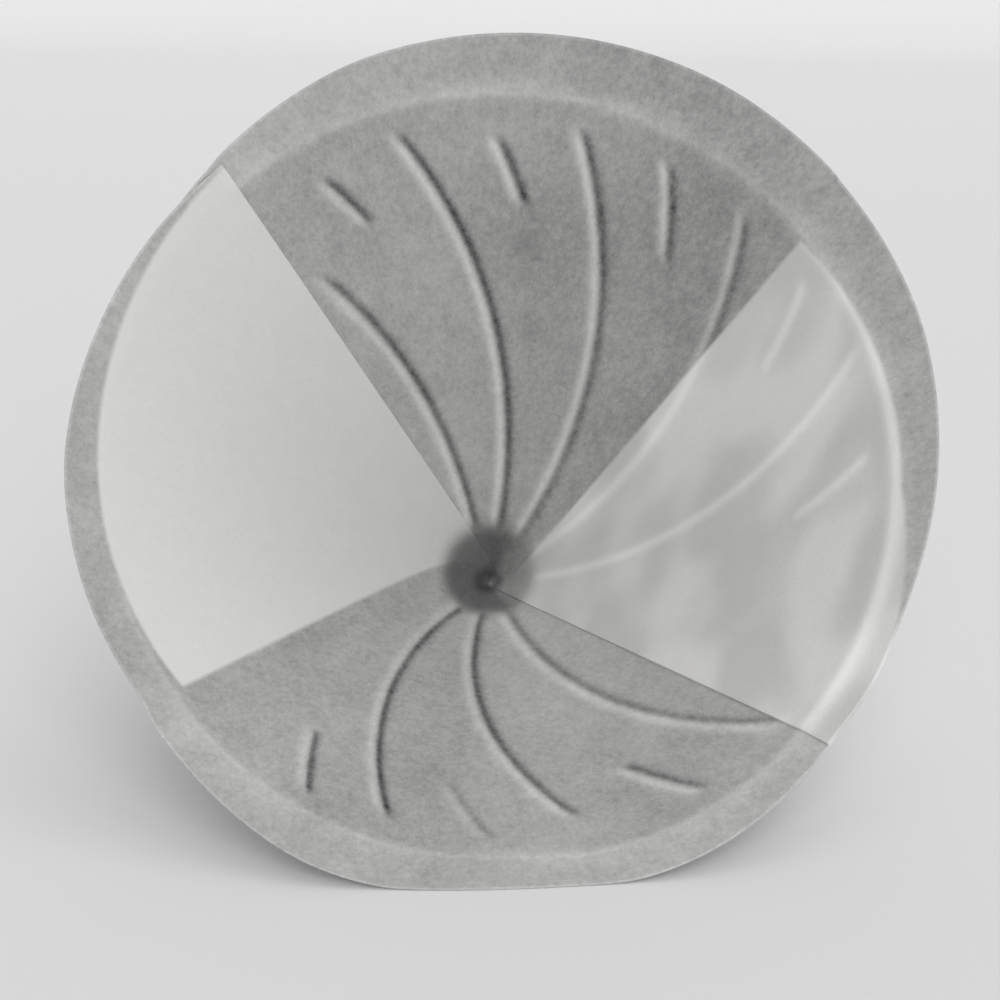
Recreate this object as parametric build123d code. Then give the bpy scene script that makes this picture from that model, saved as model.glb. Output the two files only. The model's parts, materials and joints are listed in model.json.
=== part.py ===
from build123d import *
import os
from math import atan, cos, degrees, radians, sin, sqrt, tan

# A paper coffee filter folded from one round sheet and opened into a cone,
# with a flat pleat on the left and another on the right. Millimetres.
# It is drawn tip down about Z, then laid on its side on a narrow flat.
# Azimuths are degrees about the cone axis; slants run along the wall from the tip.

half_angle = 30.0              # wall to axis
paper_thickness = 0.2
ply_gap = 0.25                 # air between two plies of a pleat
pleat_start_height = 4.0       # above the tip, where the plies part
tip_radius = 0.3

# Front half sheet: inner ply of the right pleat, outer ply of the left one.
right_inner_fold = -42.7
left_outer_fold = 216.4
front_crown_azimuth = 65.0
front_crown_slant = 120.0      # highest point of its edge
front_low_slant = 107.0        # lowest the same edge would reach

# Back half sheet: inner ply of the left pleat, outer ply of the right one.
left_inner_fold = 133.6
right_outer_fold = 397.5
back_crown_azimuth = 245.0
back_crown_slant = 120.0
back_low_slant = 108.7

# The narrow flat the cone lies on.
rest_azimuth = 270.0
rest_half_width = 9.0          # degrees

ply_pitch = paper_thickness + ply_gap
spare_slant = 10.0             # drawn past the edge, then cut away
full_height = (max(front_crown_slant, back_crown_slant) + spare_slant) * cos(radians(half_angle))


def ring_radius(height, depth):
    """Radius across the axis of a surface lying `depth` inside the cone."""
    return height * tan(radians(half_angle)) - depth / cos(radians(half_angle))


def ring_point(height, azimuth, depth):
    radius = ring_radius(height, depth)
    return Vector(radius * cos(radians(azimuth)), radius * sin(radians(azimuth)), height)


def bow(height, stations):
    """Edges through (azimuth, depth) stations: a line for two, an arc for three."""
    points = [ring_point(height, azimuth, depth) for azimuth, depth in stations]
    if len(points) == 2:
        return Edge.make_line(points[0], points[1])
    return Edge.make_three_point_arc(points[0], points[1], points[2])


def ply_outline(height, runs):
    """Closed outline of one ply, out along its outer face and back along the inner."""
    deeper = [[(azimuth, depth + paper_thickness) for azimuth, depth in run] for run in runs]
    back_runs = [run[::-1] for run in deeper[::-1]]
    outward = [bow(height, run) for run in runs]
    inward = [bow(height, run) for run in back_runs]
    end_cap = Edge.make_line(outward[-1] @ 1, inward[0] @ 0)
    start_cap = Edge.make_line(inward[-1] @ 1, outward[0] @ 0)
    return Wire(outward + [end_cap] + inward + [start_cap])


def half_ring(height, azimuth, outer_depth, inner_depth, side):
    """Arc over a fold, from one depth to the other, swelling toward `side`."""
    start = ring_point(height, azimuth, outer_depth)
    end = ring_point(height, azimuth, inner_depth)
    swell = (start - end).length / 2
    along = Vector(-sin(radians(azimuth)), cos(radians(azimuth)), 0) * side
    return Edge.make_three_point_arc(start, (start + end) / 2 + along * swell, end)


def fold_outline(height, azimuth, outer_depth, side):
    """Outline of the round fold that joins the ply at `outer_depth` to the next one in."""
    inner_depth = outer_depth + ply_pitch
    outside = half_ring(height, azimuth, outer_depth, inner_depth + paper_thickness, side)
    inside = half_ring(height, azimuth, outer_depth + paper_thickness, inner_depth, side)
    lower_cap = Edge.make_line(outside @ 1, inside @ 1)
    upper_cap = Edge.make_line(inside @ 0, outside @ 0)
    hollow = half_ring(height, azimuth, outer_depth + paper_thickness, inner_depth, side)
    return Wire([outside, lower_cap, hollow, upper_cap])


def wall_between(outline, *details):
    """Straight-sided wall from the tip end up past the edge."""
    lower = outline(pleat_start_height, *details)
    upper = outline(full_height, *details)
    return Solid.make_loft([lower, upper], ruled=True)


def edge_ball(crown_azimuth, crown_slant, low_slant):
    """Ball whose skin crosses the cone in the cut edge of one half sheet."""
    shift = crown_slant - low_slant
    radius = sqrt(crown_slant * crown_slant - crown_slant * shift + shift * shift)
    centre = (shift * cos(radians(crown_azimuth)), shift * sin(radians(crown_azimuth)), 0)
    return Pos(*centre) * Sphere(radius)


def front_half():
    middle = (right_inner_fold + left_outer_fold) / 2
    run = [(right_inner_fold, 2 * ply_pitch), (middle, ply_pitch), (left_outer_fold, 0)]
    return wall_between(ply_outline, [run])


def back_half():
    flat_start = rest_azimuth - rest_half_width
    flat_end = rest_azimuth + rest_half_width
    left_middle = (left_inner_fold + flat_start) / 2
    right_middle = (flat_end + right_outer_fold) / 2
    left_run = [(left_inner_fold, 2 * ply_pitch), (left_middle, 2.25 * ply_pitch), (flat_start, ply_pitch)]
    flat_run = [(flat_start, ply_pitch), (flat_end, ply_pitch)]
    right_run = [(flat_end, ply_pitch), (right_middle, -0.25 * ply_pitch), (right_outer_fold, 0)]
    return wall_between(ply_outline, [left_run, flat_run, right_run])


def middle_ply(start_azimuth, end_azimuth):
    middle = (start_azimuth + end_azimuth) / 2
    run = [(start_azimuth, ply_pitch), (middle, ply_pitch), (end_azimuth, ply_pitch)]
    return wall_between(ply_outline, [run])


def closed_tip():
    """Creased point where all the plies meet."""
    depth = ply_pitch + paper_thickness / 2
    top_height = pleat_start_height + 2 * paper_thickness
    bottom_height = (tip_radius + depth / cos(radians(half_angle))) / tan(radians(half_angle))
    height = top_height - bottom_height
    top_radius = ring_radius(top_height, depth)
    tip = Cone(tip_radius, top_radius, height, align=(Align.CENTER, Align.CENTER, Align.MIN))
    return Pos(0, 0, bottom_height) * tip


def folded_cone():
    front_ball = edge_ball(front_crown_azimuth, front_crown_slant, front_low_slant)
    back_ball = edge_ball(back_crown_azimuth, back_crown_slant, back_low_slant)
    front = front_half() & front_ball
    back = back_half() & back_ball
    between = [
        middle_ply(left_inner_fold, left_outer_fold),
        middle_ply(right_inner_fold, right_outer_fold - 360),
        wall_between(fold_outline, left_outer_fold, 0, 1),
        wall_between(fold_outline, left_inner_fold, ply_pitch, -1),
        wall_between(fold_outline, right_outer_fold, 0, 1),
        wall_between(fold_outline, right_inner_fold, ply_pitch, -1),
    ]
    sheet = front + back
    for piece in between:
        sheet += piece & front_ball & back_ball
    return sheet + closed_tip()


def laid_down(shape):
    """Turn the cone onto its flat, mouth toward -Y, standing on Z = 0 over the origin."""
    flat_slope = degrees(atan(tan(radians(half_angle)) * cos(radians(rest_half_width))))
    turned = Rot(X=90 - flat_slope) * shape
    box = turned.bounding_box()
    middle = box.center()
    return Pos(-middle.X, -middle.Y, -box.min.Z) * turned


coffee_filter = laid_down(folded_cone())
coffee_filter.label = "coffee_filter"

os.makedirs("parts", exist_ok=True)
export_step(coffee_filter, "parts/coffee_filter.step")
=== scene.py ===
import json
import math
import bpy
import numpy as np
from mathutils import Matrix, Vector


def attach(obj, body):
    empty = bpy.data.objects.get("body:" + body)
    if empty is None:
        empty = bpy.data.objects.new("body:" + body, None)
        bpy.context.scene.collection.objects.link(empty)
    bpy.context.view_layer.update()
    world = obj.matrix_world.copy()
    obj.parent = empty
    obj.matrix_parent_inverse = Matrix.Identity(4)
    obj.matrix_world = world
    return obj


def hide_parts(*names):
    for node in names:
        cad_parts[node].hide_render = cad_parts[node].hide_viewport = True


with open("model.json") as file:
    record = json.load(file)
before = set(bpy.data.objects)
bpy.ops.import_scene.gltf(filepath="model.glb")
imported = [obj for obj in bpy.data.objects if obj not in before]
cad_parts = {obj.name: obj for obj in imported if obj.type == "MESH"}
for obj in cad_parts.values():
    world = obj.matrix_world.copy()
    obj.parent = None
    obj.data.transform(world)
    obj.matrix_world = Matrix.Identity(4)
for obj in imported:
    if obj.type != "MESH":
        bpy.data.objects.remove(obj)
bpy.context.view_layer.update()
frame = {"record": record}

# The cone has a frame of its own, in millimetres: its point at the origin, its axis along +Z
# out through the mouth, azimuth 0 to the right and azimuth 270 on the floor side.
# A slant is a distance from the point along the wall.
seat = next(m for m in frame["record"]["mounts"] if m["name"] == "cone_seat")
apex = np.array(seat["pos_m"], float)
axis = np.array(seat["axis"], float)
axis = axis / np.linalg.norm(axis)
across = np.array([1.0, 0.0, 0.0])
upward = np.cross(axis, across)
millimetre = 0.001  # in metres


def fromCone(points):
    offset = points[..., 0:1] * across + points[..., 1:2] * upward + points[..., 2:3] * axis
    return apex + millimetre * offset


# A fold is a straight crease in the flat sheet. It misses the point by "miss" and heads for azimuth "far".
paper = {
    "thickness": 0.14,
    "pitch": 0.17,             # ply to ply in a pleat
    "tipPitch": 0.6,           # share of the pitch left at the point
    "tipPitchSlants": (4.0, 16.0),
    "wall": 30.0,              # wall to axis
    "startSlant": 2.2,         # the open sheet starts here, and a closing point fills the rest
    "leastSlant": 0.5,
    "tipHeights": (1.9, 2.1),  # where the outer and inner faces close
    "folds": {
        "rightInner": {"far": -42.7, "miss": 0.0},
        "rightOuter": {"far": 40.5, "miss": 2.9},
        "leftInner": {"far": 137.0, "miss": 3.3},
        "leftOuter": {"far": 225.4, "miss": 8.6},
    },
    "mostTurn": 100.0,         # a fold turns no further than this near the point
    "drape": 4.0,              # how far the inner ply takes to step off a fold beneath it
    "drapeShare": 0.45,        # and at most this share of the way to its next fold
    "rimSlant": 110.0,         # where the sheet bent over its holder's rim
    "rimRise": 0.22,
    "rimWidth": 1.6,
    "flare": 5.0,
    "stiffPleat": 0.6,         # share of the flare that the left pleat resists
    "pleatEdge": 1.0,          # how softly the relief stops at the left pleat
    "outletSlant": 17.3,
    "outletRise": 0.15,
    "outletWidth": 0.9,
    "floorSide": 270.0,
    "floorDent": 0.4,          # the wall bows in on the floor side
    "floorDentReach": 22.0,
    "floorDentSlants": (10.0, 60.0),
    "sag": 0.35,               # the paper is a little out of round at the rim
    "sagWaves": [(2, 0.6, 0.5), (3, 2.1, 0.3), (5, 4.0, 0.2)],  # waves round, start, share
    "reliefSlants": (4.0, 12.0),  # the relief fades in here, from the point
    "floorClear": 0.05,
    "flatEase": 0.5,           # how softly the underside turns flat
    "rows": 84,
    "rowCrowding": 1.25,
    "edgeSpread": 7.0,         # smooths the cut edge, in steps of edgeStep
    "edgeStep": 0.5,
    "middleBow": 1.2,          # how far the hidden ply's cut edge bows out
    # The ribs twist from the outlet to the rim. Changes go by a rib's azimuth at the rim.
    "ribs": {
        "every": 30.0,
        "twist": 26.0,
        "twistFrom": 0.2,          # shares of the rim's slant
        "twistOver": 0.75,
        "twistMost": 1.2,
        "twistPower": 1.5,
        "back": 4.5,               # how far the ribs on the floor side sit back
        "backAt": 262.0,
        "backReach": 30.0,
        "height": 0.2,
        "width": 1.5,
        "longAt": 17.0,
        "longStart": (17.0, 24.0),
        "longEnd": 105.0,
        "longEndChange": {137.0: -19.0, 17.0: 3.0, 257.0: -3.0, 287.0: -6.0},
        "longFade": 3.0,
        "longMissing": (347.0, 227.0),
        "shortAt": 2.0,
        "shortStart": (88.0, 92.0),
        "shortEnd": (102.0, 106.0),
        "shortMissing": (332.0, 212.0),
    },
}
ribs = paper["ribs"]
# Cut edge of each half sheet: azimuth, then slant.
frontEdge = [
    (-43, 115.6), (-33, 116.1), (-23, 115.4), (-3, 117.4), (18, 119.4), (40, 120.0), (60, 120.2),
    (80, 119.6), (110, 118.4), (131, 115.8), (161, 112.0), (180, 110.8), (200, 109.2), (217, 106.8),
]
backEdge = [
    (133, 114.4), (148, 115.0), (162, 115.6), (183, 117.6), (204, 117.2), (213, 116.4), (223, 117.0),
    (245, 120.0), (260, 118.8), (279, 117.6), (295, 117.8), (307, 116.8), (317, 115.5), (327, 116.0),
    (337, 114.8), (357, 112.4), (370, 111.1), (382, 110.2), (398, 108.9),
]
edgeOver = {"leftOuter": frontEdge, "rightInner": frontEdge, "leftInner": backEdge, "rightOuter": backEdge}
# The sheet all the way round: ply, columns, and the fold and lap where it starts and ends.
stretches = [
    ("front", 92, ("rightInner", 0), ("rightOuter", 0)),
    ("front", 132, ("rightOuter", 0), ("leftInner", 0)),
    ("front", 44, ("leftInner", 0), ("leftOuter", 0)),
    ("foldOut", 6, ("leftOuter", 0), None),
    ("middle", 16, ("leftOuter", 0), ("leftInner", 0)),
    ("foldIn", 6, ("leftInner", 0), None),
    ("back", 56, ("leftInner", 0), ("leftOuter", 0)),
    ("back", 134, ("leftOuter", 0), ("rightInner", 1)),
    ("back", 44, ("rightInner", 1), ("rightOuter", 1)),
    ("foldOut", 6, ("rightOuter", 1), None),
    ("middle", 16, ("rightOuter", 1), ("rightInner", 1)),
    ("foldIn", 6, ("rightInner", 1), None),
]


def edgeSlant(edge, azimuth):
    step = paper["edgeStep"]
    reach = 24
    fine = np.arange(edge[0][0] - reach * step, edge[-1][0] + reach * step, step)
    values = np.interp(fine, [a for a, s in edge], [s for a, s in edge])
    spread = np.exp(-0.5 * (np.arange(-reach, reach + 1) / paper["edgeSpread"]) ** 2)
    padded = np.pad(values, reach, mode="edge")
    return np.interp(azimuth, fine, np.convolve(padded, spread / spread.sum(), mode="valid"))


def foldAzimuth(name, slant):
    fold = paper["folds"][name]
    ratio = np.minimum(fold["miss"] / np.maximum(slant, paper["leastSlant"]), 1.0)
    turn = 2.0 * np.degrees(np.arcsin(ratio))
    return fold["far"] - paper["mostTurn"] * np.tanh(turn / paper["mostTurn"])


def foldPlace(place, slant):
    name, lap = place
    return foldAzimuth(name, slant) + 360.0 * lap


def smooth(low, high, value):
    t = np.clip((value - low) / (high - low), 0.0, 1.0)
    return t * t * (3.0 - 2.0 * t)


def bell(value, width):
    return np.exp(-(value / width) ** 2)


def degreeLength(slant):
    # millimetres round the cone in one degree
    return math.radians(1.0) * slant * 0.5


def ribTurned(azimuth, slant):
    # the azimuth at which a rib through this point meets the rim
    share = (slant / paper["rimSlant"] - ribs["twistFrom"]) / ribs["twistOver"]
    share = np.clip(share, 0.0, ribs["twistMost"])
    back = ribs["back"] * bell(np.mod(azimuth, 360.0) - ribs["backAt"], ribs["backReach"])
    return azimuth + back + ribs["twist"] * (1.0 - share ** ribs["twistPower"])


def near(turned, rib):
    return (np.abs(turned - rib) < 0.5 * ribs["every"]) * 1.0


def ribBells(azimuth, slant, start):
    every = ribs["every"]
    turned = ribTurned(azimuth, slant) - start
    offset = (np.mod(turned + every / 2, every) - every / 2) * degreeLength(slant)
    return bell(offset, ribs["width"])


def ribRise(azimuth, slant):
    turned = np.mod(ribTurned(azimuth, slant), 360.0)
    fade = ribs["longFade"]
    end = ribs["longEnd"]
    for rib, change in ribs["longEndChange"].items():
        end = end + change * near(turned, rib)
    longRise = ribBells(azimuth, slant, ribs["longAt"]) * smooth(*ribs["longStart"], slant)
    longRise = longRise * (1 - smooth(-fade, fade, slant - end))
    for rib in ribs["longMissing"]:
        longRise = longRise * (1 - near(turned, rib))
    shortRise = ribBells(azimuth, slant, ribs["shortAt"]) * smooth(*ribs["shortStart"], slant)
    shortRise = shortRise * (1 - smooth(*ribs["shortEnd"], slant))
    for rib in ribs["shortMissing"]:
        shortRise = shortRise * (1 - near(turned, rib))
    return ribs["height"] * (longRise + shortRise)


def insideLeftPleat(azimuth, slant):
    edge = paper["pleatEdge"]
    lap = np.mod(azimuth + 90.0, 360.0) - 90.0
    inside = smooth(-edge, edge, (lap - foldAzimuth("leftInner", slant)) * degreeLength(slant))
    return inside * smooth(-edge, edge, (foldAzimuth("leftOuter", slant) - lap) * degreeLength(slant))


def pressed(azimuth, slant):
    # how far the sheet stands in from the plain cone
    pleat = insideLeftPleat(azimuth, slant)
    pastRim = slant - paper["rimSlant"]
    inward = (ribRise(azimuth, slant) + paper["rimRise"] * bell(pastRim, paper["rimWidth"])) * (1 - pleat)
    flare = math.tan(math.radians(paper["flare"])) * (1 - paper["stiffPleat"] * pleat)
    inward = inward - np.maximum(pastRim, 0.0) * flare
    inward = inward + paper["outletRise"] * bell(slant - paper["outletSlant"], paper["outletWidth"])
    dent = bell(np.mod(azimuth, 360.0) - paper["floorSide"], paper["floorDentReach"])
    inward = inward + paper["floorDent"] * dent * smooth(*paper["floorDentSlants"], slant)
    turn = np.radians(azimuth)
    sag = sum(share * np.sin(waves * turn + start) for waves, start, share in paper["sagWaves"])
    return inward + paper["sag"] * sag * (slant / paper["rimSlant"]) ** 2


def plyDepth(ply, azimuth, slant, pitch):
    # depth of a ply inside the outermost one
    if ply == "middle":
        return pitch + 0.0 * azimuth
    names = ("rightOuter", "leftInner") if ply == "front" else ("leftOuter", "rightInner")
    begin = foldAzimuth(names[0], slant)
    width = foldAzimuth(names[1], slant) + (0.0 if ply == "front" else 360.0) - begin
    run = np.minimum(paper["drape"], paper["drapeShare"] * width * degreeLength(slant))
    return 2.0 * pitch * (1.0 - smooth(0.0, 1.0, (azimuth - begin) * degreeLength(slant) / run))


def edgeAt(place):
    # the slant of the cut edge at a fold
    name, lap = place
    azimuth = float(foldAzimuth(name, paper["rimSlant"]))
    if name != "rightInner":
        azimuth = azimuth + 360.0 * lap
    return float(edgeSlant(edgeOver[name], azimuth))


def topSlant(ply, begin, end, share):
    # where the column meets the cut edge
    if ply in ("front", "back"):
        start = float(foldPlace(begin, paper["rimSlant"]))
        here = start + share * (float(foldPlace(end, paper["rimSlant"])) - start)
        return float(edgeSlant(frontEdge if ply == "front" else backEdge, here))
    if ply != "middle":
        return edgeAt(begin)
    first = edgeAt(begin)
    return first + share * (edgeAt(end) - first) + paper["middleBow"] * math.sin(math.pi * share)


def columnPoints(ply, begin, end, share, step):
    # one column of the sheet's middle surface, from the point to the cut edge
    top = topSlant(ply, begin, end, share)
    slant = paper["startSlant"] + (top - paper["startSlant"]) * step
    tipShare = paper["tipPitch"]
    pitch = paper["pitch"] * (tipShare + (1.0 - tipShare) * smooth(*paper["tipPitchSlants"], slant))
    start = foldPlace(begin, slant)
    if ply in ("foldOut", "foldIn"):
        base = 0.0 if ply == "foldOut" else pitch
        side = 1.0 if ply == "foldOut" else -1.0
        turn = math.pi * share
        azimuth = start + side * np.degrees(0.5 * pitch * math.sin(turn) / (slant * 0.5))
        depth = base + 0.5 * pitch * (1.0 - math.cos(turn))
    else:
        azimuth = start + share * (foldPlace(end, slant) - start)
        depth = plyDepth(ply, azimuth, slant, pitch)
    depth = depth + 0.5 * paper["thickness"]
    depth = depth + pressed(azimuth, slant) * smooth(*paper["reliefSlants"], slant)
    turn = np.radians(azimuth)
    half = math.radians(paper["wall"])
    radius = slant * math.sin(half) - depth * math.cos(half)
    height = slant * math.cos(half) + depth * math.sin(half)
    return np.stack([radius * np.cos(turn), radius * np.sin(turn), height], axis=-1)


def middleSurface():
    step = 1.0 - (1.0 - np.linspace(0.0, 1.0, paper["rows"])) ** paper["rowCrowding"]
    columns = []
    for ply, count, begin, end in stretches:
        for i in range(count):
            columns.append(columnPoints(ply, begin, end, (i + 1.0) / count, step))
    return fromCone(np.stack(columns, axis=1))


def laidOnFloor(middle):
    low = millimetre * (paper["floorClear"] + 0.5 * paper["thickness"])
    above = middle[..., 2] - low
    middle[..., 2] = low + 0.5 * (above + np.sqrt(above ** 2 + (millimetre * paper["flatEase"]) ** 2))
    return middle


def makeSheet():
    middle = laidOnFloor(middleSurface())
    around = np.roll(middle, -1, axis=1) - np.roll(middle, 1, axis=1)
    along = np.gradient(middle, axis=0)
    normal = np.cross(around, along)
    normal = normal / np.maximum(np.linalg.norm(normal, axis=2, keepdims=True), 1e-12)
    half = 0.5 * millimetre * paper["thickness"]
    rows, count = middle.shape[:2]
    total = rows * count
    outer = (middle + normal * half).reshape(-1, 3)
    inner = (middle - normal * half).reshape(-1, 3)
    tips = fromCone(np.array([[0.0, 0.0, height] for height in paper["tipHeights"]]))
    points = np.concatenate([outer, inner, tips])
    r, c = np.meshgrid(np.arange(rows - 1), np.arange(count), indexing="ij")
    a = (r * count + c).ravel()
    b = (r * count + (c + 1) % count).ravel()
    outside = np.stack([a, b, b + count, a + count], axis=1)
    inside = outside[:, ::-1] + total
    c = np.arange(count)
    n = (c + 1) % count
    top = (rows - 1) * count
    rim = np.stack([top + c, top + n, top + n + total, top + c + total], axis=1)
    outerTip = np.stack([n, c, np.full(count, 2 * total)], axis=1)
    innerTip = np.stack([c + total, n + total, np.full(count, 2 * total + 1)], axis=1)
    quads = np.concatenate([outside, inside, rim])
    faces = quads.tolist() + outerTip.tolist() + innerTip.tolist()
    mesh = bpy.data.meshes.new("filterSheet")
    mesh.from_pydata(points.tolist(), [], faces)
    mesh.validate()
    flat = np.zeros(len(mesh.polygons), bool)
    flat[len(outside) + len(inside):len(quads)] = True  # the cut edge keeps its corners
    mesh.polygons.foreach_set("use_smooth", ~flat)
    mesh.update()
    sheet = bpy.data.objects.new("filterSheet", mesh)
    bpy.context.scene.collection.objects.link(sheet)
    print("sheet", len(points), "points", len(faces), "faces")
    return sheet


filterSheet = makeSheet()


class Sock:
    # a node socket that arithmetic can be written with
    def __init__(self, tree, out=None):
        self.tree = tree
        self.out = out

    def node(self, kind, settings=None, sockets=None, output=0):
        made = self.tree.nodes.new(kind)
        for name, value in (settings or {}).items():
            setattr(made, name, value)
        for name, value in (sockets or {}).items():
            if isinstance(value, Sock):
                self.tree.links.new(value.out, made.inputs[name])
            else:
                made.inputs[name].default_value = value
        return Sock(self.tree, made.outputs[output])

    def math(self, operation, *values):
        return self.node("ShaderNodeMath", {"operation": operation}, dict(enumerate((self,) + values)))

    def __add__(self, other):
        return self.math("ADD", other)

    __radd__ = __add__

    def __sub__(self, other):
        return self.math("SUBTRACT", other)

    def __rsub__(self, other):
        return (self * -1.0) + other

    def __mul__(self, other):
        return self.math("MULTIPLY", other)

    __rmul__ = __mul__

    def __truediv__(self, other):
        return self.math("DIVIDE", other)

    def __rtruediv__(self, other):
        return self.math("POWER", -1.0) * other

    def __pow__(self, other):
        return self.math("POWER", other)

    def __neg__(self):
        return self * -1.0

    def above(self, least):
        return self.math("MAXIMUM", least)

    def below(self, most):
        return self.math("MINIMUM", most)

    def ramp(self, low, high):
        spans = {"Value": self, "From Min": low, "From Max": high}
        return self.node("ShaderNodeMapRange", {"interpolation_type": "SMOOTHSTEP"}, spans)

    def bell(self, width):
        return ((self / width) ** 2.0 * -1.0).math("EXPONENT")

    def dot(self, vector):
        settings = {"operation": "DOT_PRODUCT"}
        return self.node("ShaderNodeVectorMath", settings, {0: self, 1: tuple(vector)}, 1)


# Tones are base colours from 0 to 1, slants and widths are in millimetres, angles in degrees.
# Most pairs are where a soft step starts and ends.
paperLook = {
    # the single ply's darker tone is painted shade, the dark behind the paper showing through one ply; the
    # pleats' three plies are lighter
    "singleTone": 0.37,
    "tripleTone": 0.665,
    "toneLimits": (0.03, 0.9),
    "warmth": (1.0, 0.995, 0.985, 1.0),
    "roughness": 0.86,
    "cloudRoughness": 0.16,
    "ridgeRoughness": 0.06,
    "specular": 0.25,
    "bumpStrength": 0.6,
    "bumpDistance": 0.001,
    "fields": {                # noise, from clouds of fibre to fine grain
        "drift": {"Scale": 0.045, "Detail": 2.0, "Roughness": 0.5},
        "cloud": {"Scale": 0.3, "Detail": 5.0, "Roughness": 0.65},
        "speck": {"Scale": 1.1, "Detail": 4.0, "Roughness": 0.7},
        "grain": {"Scale": 3.0, "Detail": 2.0, "Roughness": 0.6},
        "fibre": {"Scale": 0.9, "Detail": 3.0, "Roughness": 0.5},
    },
    "singleSwing": {"drift": 0.22, "cloud": 0.18, "speck": 0.24, "fibre": 0.08, "grain": 0.14},
    "tripleSwing": {"cloud": 0.05, "grain": 0.03},
    "bumpSwing": {"grain": 0.05, "speck": 0.08, "fibre": 0.05},
    "alongAxis": 0.35,         # draws the fields out along the cone's axis
    "fibreTurn": (0.4, 0.8, 0.9),
    "fibreScale": (1.0, 1.7, 1.7),
    "insideFold": (-0.30, -0.08),  # the pleats' lighter tone starts just before their inner folds, painted light over the shade in the crease there
    "pleatFade": (12.0, 19.0),
    "pleatAtTip": 0.25,        # how much of a pleat's tone is left at the point
    "pleats": {                # where the pleats' light tone ends near the rim, by azimuth
        "left": {
            "outside": 0.5, "end": 111.2, "lean": 0.045, "drop": 0.0017,
            "liftFrom": -10.0, "lift": 0.0006, "liftPower": 2.0,
        },
        "right": {
            "outside": 0.4, "end": 111.2, "lean": 0.0, "drop": 0.0016,
            "liftFrom": -4.0, "lift": 0.2, "liftPower": 1.0,
        },
    },
    "endEdge": 0.6,            # how softly it ends there
    "singleDeep": 0.85,        # painted light: the single ply is lighter below this share of the rim's slant, against the shade deep in the cone
    "singleDeepLight": 0.16,
    "quarterShade": 0.045,     # two opposite quarters are darker
    "overTopAt": 82.0,         # the top is a little darker round this azimuth
    "overTopReach": 27.0,
    "overTopFade": (0.75, 0.95),
    "overTopShade": 0.06,
    # painted light: the pleats are lighter towards the rim
    "tripleSlope": 0.10,
    "tripleLevelAt": 0.8,      # share of the rim's slant
    "patchLight": 0.135,          # painted light patches in the right pleat, painted shade between them
    "patchStep": (0.34, 0.70),
    "patchShade": 0.10,
    "patchTurn": (0.9, 0.42),
    "patchSize": (9.0, 19.0),
    "patchSide": (0.0, 0.4),   # cosine of the azimuth, so they stay on the right
    "ribWide": 1.1,
    "ribShadeSide": 0.60,           # painted shade and painted highlight on the ribs' two sides; "across" and "up" vary them round the cone
    "ribShadeAcross": 0.2,
    "ribHighlightSide": 0.54,
    "ribHighlightAcross": 0.16,
    "ribHighlightUp": 0.2,
    "ridgeHighlightRight": 0.11,           # painted highlight on the ridges in the right pleat
    "ridgeWide": 0.9,
    # painted highlight on every ridge
    "ridgeHighlight": 0.02,
    "ribInRightPleat": 0.85,   # how much of the ribs' shading the right pleat hides
    "longStart": (15.0, 20.0),
    "longEnd": (-2.0, 3.0),
    "shortFrom": 87.5,         # a change is given by the rib's azimuth at the rim
    "shortFromChange": {122.0: 2.5, 92.0: 1.5},
    "shortStart": (0.0, 3.0),
    "shortTo": 105.0,
    "shortToChange": {122.0: -2.5, 92.0: -2.5},
    "shortEnd": (-1.0, 2.0),
    "faintRib": 272.0,         # one short rib is hardly seen
    "faintRibLoss": 0.6,
    # painted highlight along the bend at the rim
    "rimHighlight": 0.09,
    "rimWide": 1.9,
    "rimAll": 0.7,
    "rimRight": 1.1,
    "rimFineWide": 0.7,
    "rimFine": 0.4,
    "ringRight": 46.0,         # the bend's painted highlight is brighter this far either side of azimuth 0
    "ringSoft": (6.0, 12.0),
    # painted light on the paper past the rim, with a little painted shade at the top
    "pastRim": (0.5, 3.0),
    "pastRimLight": 0.04,
    "pastRimTopShade": 0.06,
    # painted shade: a dark patch over the outlet, and darker paper at the point
    "outletShade": 0.66,
    "outletEdge": 4.0,
    "outletRight": (0.3, 0.95),
    "outletRightLoss": 0.6,
    "pointShade": 0.45,
    "tipFade": (3.0, 8.0),
}


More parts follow.
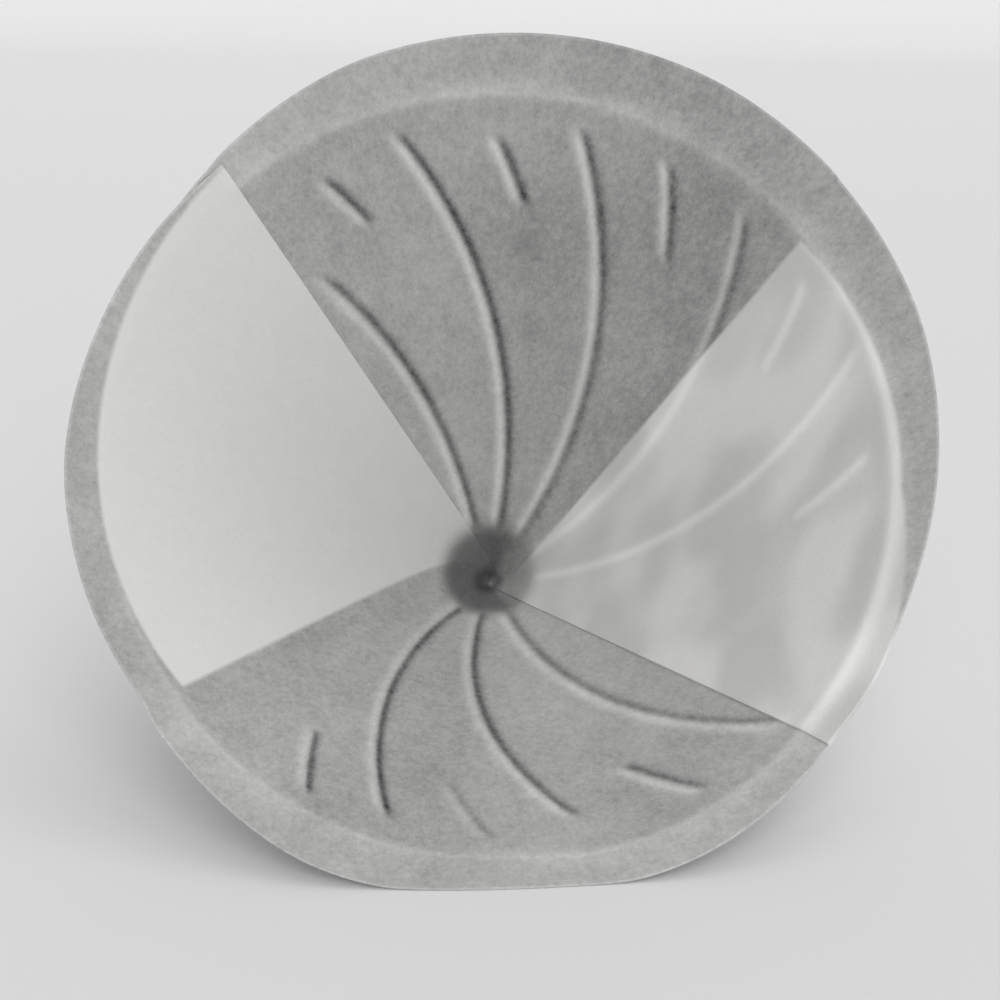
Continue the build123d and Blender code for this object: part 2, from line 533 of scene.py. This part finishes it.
class Place:
    # where a point of the paper is in the cone's frame
    def __init__(self, root):
        spot = root.node("ShaderNodeTexCoord", output="Object")
        away = root.node("ShaderNodeVectorMath", {"operation": "SUBTRACT"}, {0: spot, 1: tuple(apex)})
        self.root = root
        self.x = away.dot(across) * (1.0 / millimetre)
        self.y = away.dot(upward) * (1.0 / millimetre)
        self.z = away.dot(axis) * (1.0 / millimetre)
        radius = (self.x * self.x + self.y * self.y).math("SQRT")
        half = math.radians(paper["wall"])
        self.slant = self.z * math.cos(half) + radius * math.sin(half)
        self.far = self.slant / paper["rimSlant"]
        self.sine = self.y / radius
        self.cosine = self.x / radius
        degrees = math.degrees(1.0)
        self.right = self.y.math("ARCTAN2", self.x) * degrees  # azimuth, -180 to 180
        self.left = (self.y * -1.0).math("ARCTAN2", self.x * -1.0) * degrees  # azimuth - 180
        self.degree = degreeLength(self.slant)

    def pastFold(self, name):
        # signed distance past a fold, towards rising azimuth
        fold = paper["folds"][name]
        angle, base = (self.left, 180.0) if name.startswith("left") else (self.right, 0.0)
        if fold["miss"] > 0.0:
            turn = (fold["miss"] / self.slant).below(1.0).math("ARCSINE") * math.degrees(2.0)
            angle = angle + (turn / paper["mostTurn"]).math("TANH") * paper["mostTurn"]
        return (angle - (fold["far"] - base)) * self.degree

    def insidePleat(self, side):
        look = paperLook["pleats"][side]
        angle = self.left if side == "left" else self.right
        inside = self.pastFold(side + "Inner").ramp(*paperLook["insideFold"])
        inside = inside * (-self.pastFold(side + "Outer")).ramp(-look["outside"], look["outside"])
        end = look["end"] - angle * look["lean"] - angle.above(0.0) ** 2.0 * look["drop"]
        end = end + (look["liftFrom"] - angle).above(0.0) ** look["liftPower"] * look["lift"]
        return inside * (end - self.slant).ramp(-paperLook["endEdge"], paperLook["endEdge"])


class RibMap:
    # the ribs in the material, each known by its azimuth at the rim
    def __init__(self, place):
        share = (place.far - ribs["twistFrom"]) / ribs["twistOver"]
        back = (place.right + (360.0 - ribs["backAt"])).bell(ribs["backReach"]) * ribs["back"]
        self.turned = place.right + back + (1.0 - share.above(0.0) ** ribs["twistPower"]) * ribs["twist"]
        self.place = place

    def beside(self, rib):
        # 1 where this rib is the nearest one
        apart = (self.turned - rib).math("WRAP", 180.0, -180.0).math("ABSOLUTE")
        return apart.math("LESS_THAN", 0.5 * ribs["every"])

    def changed(self, value, changes):
        for rib, change in changes.items():
            value = value + self.beside(rib) * change
        return value

    def without(self, mask, missing):
        for rib in missing:
            mask = mask * (1.0 - self.beside(rib))
        return mask

    def offset(self, start):
        half = ribs["every"] / 2
        return (self.turned - start).math("WRAP", half, -half) * self.place.degree

    def longOnes(self):
        slant = self.place.slant
        end = self.changed(ribs["longEnd"], ribs["longEndChange"])
        shown = slant.ramp(*paperLook["longStart"]) * (end - slant).ramp(*paperLook["longEnd"])
        return self.offset(ribs["longAt"]), self.without(shown, ribs["longMissing"])

    def shortOnes(self):
        slant = self.place.slant
        start = self.changed(paperLook["shortFrom"], paperLook["shortFromChange"])
        end = self.changed(paperLook["shortTo"], paperLook["shortToChange"])
        shown = (slant - start).ramp(*paperLook["shortStart"]) * (end - slant).ramp(*paperLook["shortEnd"])
        return self.offset(ribs["shortAt"]), self.without(shown, ribs["shortMissing"])


def ribLightAndShade(place, leftPleat, rightPleat):
    # painted shade and painted highlight on the ribs' two sides, as if lit from one side, and painted
    # highlights on their ridges; the ribs' relief itself is in the mesh
    ribMap = RibMap(place)
    wide = paperLook["ribWide"]
    longOff, longOn = ribMap.longOnes()
    shortOff, shortOn = ribMap.shortOnes()
    longOn = longOn * (1.0 - leftPleat)
    shortOn = shortOn * (1.0 - leftPleat)
    faint = 1.0 - ribMap.beside(paperLook["faintRib"]) * paperLook["faintRibLoss"]
    shade = (longOff / wide) * longOff.bell(wide) * longOn
    shade = shade + (shortOff / wide) * shortOff.bell(wide) * shortOn * faint
    shade = shade * place.sine * (1.0 - rightPleat * paperLook["ribInRightPleat"])
    dark = shade.below(0.0) * (paperLook["ribShadeSide"] - place.cosine * paperLook["ribShadeAcross"])
    light = shade.above(0.0) * (paperLook["ribHighlightSide"] + place.cosine * paperLook["ribHighlightAcross"])
    upLight = paperLook["ribHighlightUp"]
    light = light * ((1.0 - upLight) + place.sine * upLight)
    ridgeWide = paperLook["ridgeWide"]
    ridge = longOff.bell(ridgeWide) * longOn + shortOff.bell(ridgeWide) * shortOn
    return dark + light, ridge


def fibreFields(place):
    alongAxis = place.z * paperLook["alongAxis"]
    spot = place.root.node("ShaderNodeCombineXYZ", None, {0: place.x, 1: place.y, 2: alongAxis})
    sockets = {"Vector": spot, "Rotation": paperLook["fibreTurn"], "Scale": paperLook["fibreScale"]}
    turned = place.root.node("ShaderNodeMapping", None, sockets)
    fields = {}
    for name, values in paperLook["fields"].items():
        sockets = {"Vector": turned if name == "fibre" else spot, **values}
        fields[name] = place.root.node("ShaderNodeTexNoise", None, sockets)
    return fields


def swings(fields, which):
    # the fields summed, each swinging either way from its middle
    return sum((fields[name] - 0.5) * swing for name, swing in paperLook[which].items())


def lightPatches(place):
    # painted light patches in the right pleat, with painted shade between them
    along, aside = paperLook["patchTurn"]
    wide, tall = paperLook["patchSize"]
    first = (place.x * along - place.y * aside) / wide
    second = (place.x * aside + place.y * along) / tall
    flow = place.root.node("ShaderNodeCombineXYZ", None, {0: first, 1: second})
    sockets = {"Vector": flow, "Scale": 1.0, "Detail": 1.0}
    waves = place.root.node("ShaderNodeTexNoise", {"noise_dimensions": "2D"}, sockets)
    patchLight = waves.ramp(*paperLook["patchStep"]) * paperLook["patchLight"] - paperLook["patchShade"]
    patchLight = patchLight - (place.far - paperLook["tripleLevelAt"]) * paperLook["tripleSlope"]
    return patchLight * place.cosine.ramp(*paperLook["patchSide"])


def singlePlyTone(place, fields, overTop):
    # painted light deep in the cone
    deep = (paperLook["singleDeep"] - place.far).above(0.0) ** 2.0
    tone = paperLook["singleTone"] + deep * paperLook["singleDeepLight"]
    tone = tone - place.cosine * place.sine * paperLook["quarterShade"]
    overTop = overTop * (1.0 - place.far.ramp(*paperLook["overTopFade"]))
    tone = tone - overTop * paperLook["overTopShade"]
    return tone + swings(fields, "singleSwing")


def triplePlyTone(place, fields):
    slope = (place.far - paperLook["tripleLevelAt"]) * paperLook["tripleSlope"]
    return paperLook["tripleTone"] + slope + lightPatches(place) + swings(fields, "tripleSwing")


def rimLightAndShade(place, pleat, leftPleat, overTop):
    # painted highlight along the bend at the rim, and painted light with a little painted shade at the top
    # on the paper past it
    fromRim = place.slant - paper["rimSlant"]
    low, high = paperLook["ringSoft"]
    ring = paperLook["ringRight"]
    onRight = (place.right + ring).ramp(0.0, low) * (ring - place.right).ramp(0.0, high)
    line = fromRim.bell(paperLook["rimWide"]) * (paperLook["rimAll"] + onRight * paperLook["rimRight"])
    line = line + fromRim.bell(paperLook["rimFineWide"]) * paperLook["rimFine"]
    light = paperLook["pastRimLight"]
    past = light + onRight * light - overTop * paperLook["pastRimTopShade"]
    past = past * fromRim.ramp(*paperLook["pastRim"]) * (1.0 - pleat)
    return line * paperLook["rimHighlight"] * (1.0 - leftPleat) + past


def tipShade(place):
    # painted shade over the outlet and at the point
    edge = paperLook["outletEdge"]
    outlet = (paper["outletSlant"] - place.slant).ramp(-edge, edge)
    lost = place.cosine.ramp(*paperLook["outletRight"]) * paperLook["outletRightLoss"]
    outlet = outlet * (1.0 - lost)
    tip = paperLook["pointShade"]
    tip = tip + place.slant.ramp(*paperLook["tipFade"]) * (1.0 - tip)
    return (1.0 - outlet * paperLook["outletShade"]) * tip


def makePaper():
    material = bpy.data.materials.new("filterPaper")
    material.use_nodes = True
    tree = material.node_tree
    shader = tree.nodes["Principled BSDF"]
    root = Sock(tree)
    place = Place(root)
    leftPleat = place.insidePleat("left")
    rightPleat = place.insidePleat("right")
    atTip = paperLook["pleatAtTip"]
    shown = atTip + place.slant.ramp(*paperLook["pleatFade"]) * (1.0 - atTip)
    pleat = leftPleat.above(rightPleat) * shown
    overTop = (place.right - paperLook["overTopAt"]).bell(paperLook["overTopReach"])
    fields = fibreFields(place)
    single = singlePlyTone(place, fields, overTop)
    triple = triplePlyTone(place, fields)
    ribShade, ridge = ribLightAndShade(place, leftPleat, rightPleat)
    tone = single + (triple - single) * pleat + ribShade
    # painted highlight on the ribs' ridges
    tone = tone + ridge * (paperLook["ridgeHighlight"] + rightPleat * paperLook["ridgeHighlightRight"])
    tone = tone + rimLightAndShade(place, pleat, leftPleat, overTop)
    tone = tone * tipShade(place)
    least, most = paperLook["toneLimits"]
    tone = tone.above(least).below(most)
    black = (0.0, 0.0, 0.0, 1.0)
    mixed = {0: tone, 6: black, 7: paperLook["warmth"]}
    colour = root.node("ShaderNodeMix", {"data_type": "RGBA"}, mixed, 2)
    tree.links.new(colour.out, shader.inputs["Base Color"])
    rough = paperLook["roughness"] + (fields["cloud"] - 0.5) * paperLook["cloudRoughness"]
    rough = rough - ridge * paperLook["ridgeRoughness"]
    tree.links.new(rough.out, shader.inputs["Roughness"])
    shader.inputs["Specular IOR Level"].default_value = paperLook["specular"]
    bumped = {
        "Strength": paperLook["bumpStrength"],
        "Distance": paperLook["bumpDistance"],
        "Height": swings(fields, "bumpSwing"),
    }
    bump = root.node("ShaderNodeBump", None, bumped)
    tree.links.new(bump.out, shader.inputs["Normal"])
    print("paper material", len(tree.nodes), "nodes")
    return material


filterSheet.data.materials.append(makePaper())
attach(filterSheet, "root")
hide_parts("coffee_filter")
print("paper done")

# The floor runs back and bends up into a wall. The suns are so wide that the shadows stay soft.
studio = {
    "floorTone": 0.69,
    "floorRoughness": 0.9,
    "floorSpecular": 0.1,
    "floorSize": 9.0,
    "backWall": 3.0,
    "wallTop": 5.0,
    "bend": 0.8,
    "bendSteps": 16,
    "aim": (0.0, 0.0, 0.05),
    "suns": {                  # place, level, degrees across
        "front": ((0.15, -1.74, 1.05), 1.9, 45.0),
        "top": ((0.5, -0.3, 1.6), 0.7, 60.0),
    },
    "worldLevel": 0.42,
    "backdropLevel": 0.68,
}


def makeFloor():
    size = studio["floorSize"]
    wall = studio["backWall"]
    bend = studio["bend"]
    steps = studio["bendSteps"]
    profile = [(-size, 0.0), (wall - bend, 0.0)]
    for i in range(1, steps + 1):
        turn = 0.5 * math.pi * i / steps
        profile.append((wall - bend + bend * math.sin(turn), bend - bend * math.cos(turn)))
    profile.append((wall, studio["wallTop"]))
    points = [(side * size, y, z) for y, z in profile for side in (-1, 1)]
    faces = [(2 * i, 2 * i + 1, 2 * i + 3, 2 * i + 2) for i in range(len(profile) - 1)]
    mesh = bpy.data.meshes.new("studioFloor")
    mesh.from_pydata(points, [], faces)
    mesh.polygons.foreach_set("use_smooth", [True] * len(faces))
    floor = bpy.data.objects.new("studioFloor", mesh)
    bpy.context.scene.collection.objects.link(floor)
    material = bpy.data.materials.new("studioFloor")
    material.use_nodes = True
    shader = material.node_tree.nodes["Principled BSDF"]
    tone = studio["floorTone"]
    shader.inputs["Base Color"].default_value = (tone, tone, tone, 1.0)
    shader.inputs["Roughness"].default_value = studio["floorRoughness"]
    shader.inputs["Specular IOR Level"].default_value = studio["floorSpecular"]
    mesh.materials.append(material)


def aimAt(thing, target, up=(0.0, 0.0, 1.0)):
    back = (Vector(thing.location) - Vector(target)).normalized()
    side = Vector(up).cross(back).normalized()
    top = back.cross(side)
    turned = Matrix((side, top, back)).transposed().to_4x4()
    thing.matrix_world = Matrix.Translation(thing.location) @ turned


def addSun(name, place, level, spread):
    light = bpy.data.lights.new(name, "SUN")
    light.energy = level
    light.angle = math.radians(spread)
    lamp = bpy.data.objects.new(name, light)
    bpy.context.scene.collection.objects.link(lamp)
    lamp.location = place
    aimAt(lamp, studio["aim"])


def makeWorld():
    # plain white; what the camera and reflections see is a little lighter than what lights the paper
    world = bpy.data.worlds.new("studioWorld")
    world.use_nodes = True
    tree = world.node_tree
    background = tree.nodes["Background"]
    background.inputs["Color"].default_value = (1.0, 1.0, 1.0, 1.0)
    seen = 0.0
    for ray in ("Camera", "Glossy", "Transmission"):
        seen = seen + Sock(tree).node("ShaderNodeLightPath", output="Is " + ray + " Ray")
    extra = studio["backdropLevel"] - studio["worldLevel"]
    level = seen.below(1.0) * extra + studio["worldLevel"]
    tree.links.new(level.out, background.inputs["Strength"])
    bpy.context.scene.world = world


makeFloor()
for name, (place, level, spread) in studio["suns"].items():
    addSun(name, place, level, spread)
makeWorld()
print("studio done")

lens = {
    "seat": (-6.73, -62.32, 334.69),    # in the cone's frame, in millimetres
    "look": (-0.25, -5.79, 95.26),
    "length": 64.6,
    "sensor": 36.0,
    "clipStart": 0.01,
}


def placeCamera():
    camera = bpy.data.cameras.new("camera")
    camera.lens = lens["length"]
    camera.sensor_width = lens["sensor"]
    camera.clip_start = lens["clipStart"]
    viewer = bpy.data.objects.new("camera", camera)
    bpy.context.scene.collection.objects.link(viewer)
    viewer.location = fromCone(np.array(lens["seat"])).tolist()
    aimAt(viewer, fromCone(np.array(lens["look"])).tolist(), tuple(upward))
    bpy.context.scene.camera = viewer
    print("camera at", [round(v, 4) for v in viewer.location])


placeCamera()
bpy.context.scene.view_settings.view_transform = "Standard"
